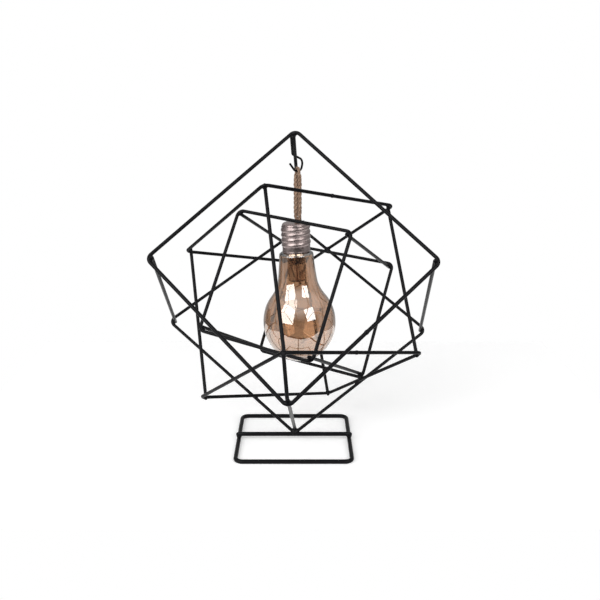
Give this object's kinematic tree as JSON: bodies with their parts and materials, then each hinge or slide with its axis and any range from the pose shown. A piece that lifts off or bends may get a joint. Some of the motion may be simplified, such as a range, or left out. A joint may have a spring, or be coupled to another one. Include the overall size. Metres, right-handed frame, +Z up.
{
  "type": "cube lamp",
  "caption": "Table lamp of nested bent-wire cubes on a flat wire foot, with a battery LED bulb of amber glass hanging inside on a jute loop.",
  "frame": {"origin": "middle of the wire foot at the level of the floor", "axes": "+Z up, +Y to the back, +X to the right as seen from the front"},
  "size_m": [0.2649, 0.294, 0.3025],
  "materials": {
    "black_powder_coat": "satin black powder coat on steel wire",
    "jute": "twisted natural jute",
    "silver_cap": "pressed cap with a dull silver finish",
    "amber_glass": "amber glass with a thin mirror coat",
    "pack_plastic": "black moulded plastic",
    "board_laminate": "green glass-fibre laminate",
    "plated_steel": "nickel-plated steel",
    "copper_wire": "lacquered copper wire",
    "led_resin": "clear resin bead"
  },
  "bodies": {
    "frame": {"base_loop": "black_powder_coat", "base_crossbar": "black_powder_coat", "base_welds": "black_powder_coat", "outer_front_loop": "black_powder_coat", "outer_rear_loop": "black_powder_coat", "outer_strut_top": "black_powder_coat", "outer_strut_right": "black_powder_coat", "outer_strut_bottom": "black_powder_coat", "outer_strut_left": "black_powder_coat", "outer_welds": "black_powder_coat", "middle_upper_loop": "black_powder_coat", "middle_lower_loop": "black_powder_coat", "middle_strut_1": "black_powder_coat", "middle_strut_2": "black_powder_coat", "middle_strut_3": "black_powder_coat", "middle_strut_4": "black_powder_coat", "middle_welds": "black_powder_coat", "inner_front_loop": "black_powder_coat", "inner_rear_loop": "black_powder_coat", "inner_strut_1": "black_powder_coat", "inner_strut_2": "black_powder_coat", "inner_strut_3": "black_powder_coat", "inner_strut_4": "black_powder_coat", "inner_welds": "black_powder_coat", "stay_wire": "black_powder_coat", "hook": "black_powder_coat", "crossing_welds": "black_powder_coat"},
    "rope": {"hanging_rope": "jute", "rope_knot": "jute"},
    "bulb_cap": {"cap_lid": "silver_cap", "cap_shell": "silver_cap", "circuit_board": "board_laminate", "switch_body": "plated_steel", "resistor": "pack_plastic", "battery_holder": "pack_plastic", "contact_plate": "plated_steel", "contact_cup": "plated_steel", "cell_1": "plated_steel", "cell_2": "plated_steel", "cell_3": "plated_steel", "led_wire": "copper_wire", "led_1": "led_resin", "led_2": "led_resin", "led_3": "led_resin", "led_4": "led_resin", "led_5": "led_resin", "led_6": "led_resin"},
    "switch": {"switch_knob": "plated_steel"},
    "bulb_glass": {"neck_collar": "silver_cap", "glass_bulb": "amber_glass"}
  },
  "joints": [
    {"name": "rope_swing", "type": "hinge", "parent": "frame", "child": "rope", "pos_m": [0.0037, 0.025, 0.26432], "axis": [1, 0, 0], "range_deg": [-6, 8]},
    {"name": "bulb_sway", "type": "hinge", "parent": "rope", "child": "bulb_cap", "pos_m": [0.0037, 0.025, 0.21402], "axis": [0, 1, 0], "range_deg": [-8, 8]},
    {"name": "switch_slide", "type": "slide", "parent": "bulb_cap", "child": "switch", "axis": [0, 1, 0], "range_m": [0, 0.002]},
    {"name": "glass_twist", "type": "hinge", "parent": "bulb_cap", "child": "bulb_glass", "pos_m": [0.00226, 0.025, 0.18552], "axis": [-0.0454, 0, 0.999], "range_deg": [0, 50]}
  ]
}
